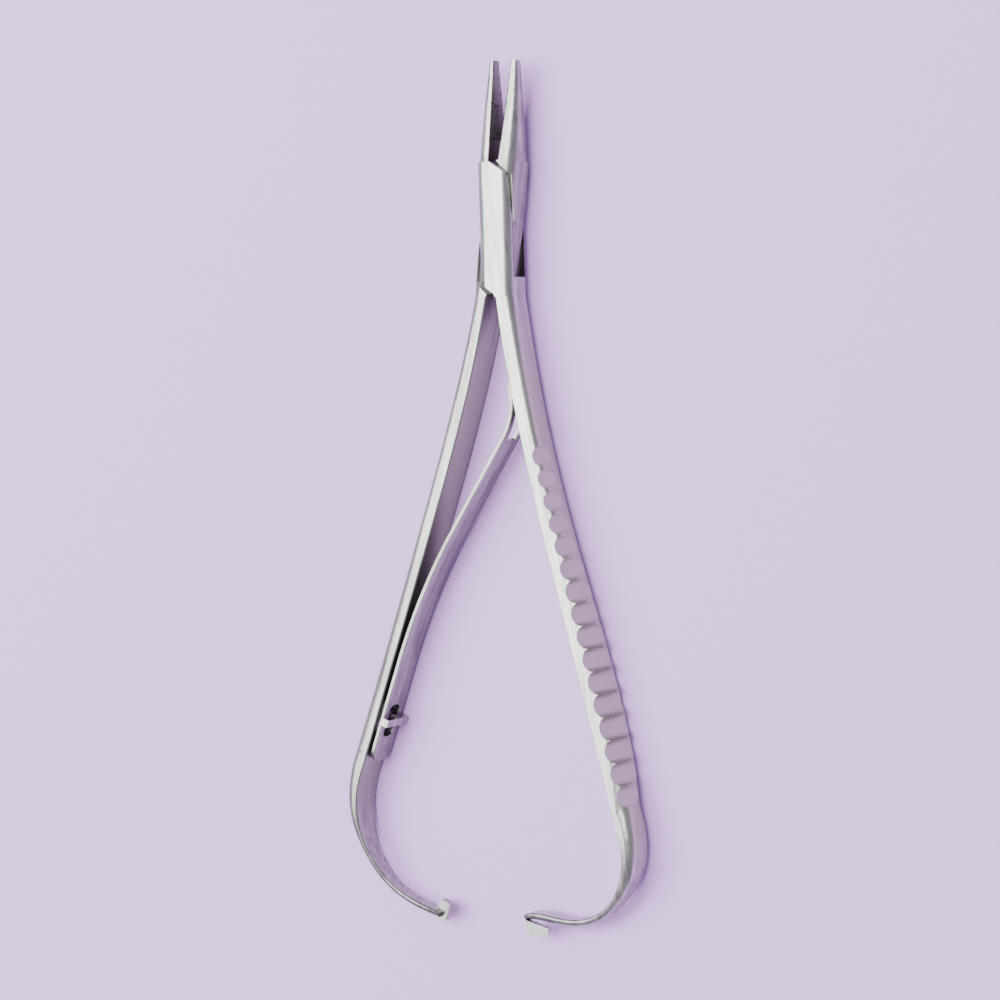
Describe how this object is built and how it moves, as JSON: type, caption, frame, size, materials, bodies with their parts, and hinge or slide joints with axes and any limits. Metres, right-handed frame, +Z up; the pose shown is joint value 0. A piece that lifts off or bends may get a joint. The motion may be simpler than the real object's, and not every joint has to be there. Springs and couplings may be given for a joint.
{
  "type": "palm-grip needle holder forceps",
  "caption": "Ring-less surgical needle holder with a box lock, bowed palm-grip handles with scalloped outer sides, a leaf spring between them and a catch at the handle ends.",
  "frame": {"origin": "the pivot's axis where it meets the plane that the instrument lies on", "axes": "+Y along the instrument to the jaw tips, +X to the handle that carries the catch rack, +Z up out of the flat side"},
  "size_m": [0.0561, 0.139, 0.006],
  "materials": {
    "forged_steel": "satin stainless steel, fine polished grain along the handles, cross-hatched jaw faces",
    "spring_steel": "rolled spring steel, fine grain along the leaf",
    "pin_steel": "turned steel, ground flush at the lock",
    "catch_steel": "ground steel with a soft satin grain"
  },
  "bodies": {
    "slotted_side": {"slotted_half": "forged_steel", "pivot_pin": "pin_steel", "catch_rack": "catch_steel"},
    "tongue_side": {"tongue_half": "forged_steel", "spring_stud": "pin_steel", "leaf_spring": "spring_steel"}
  },
  "joints": [
    {"name": "lock_pivot", "type": "hinge", "parent": "slotted_side", "child": "tongue_side", "pos_m": [0, 0, 0.003], "axis": [0, 0, 1], "range_deg": [0, 7], "stiffness_Nm_per_rad": 2, "springref_deg": -5.73, "deforming": ["leaf_spring"]}
  ]
}
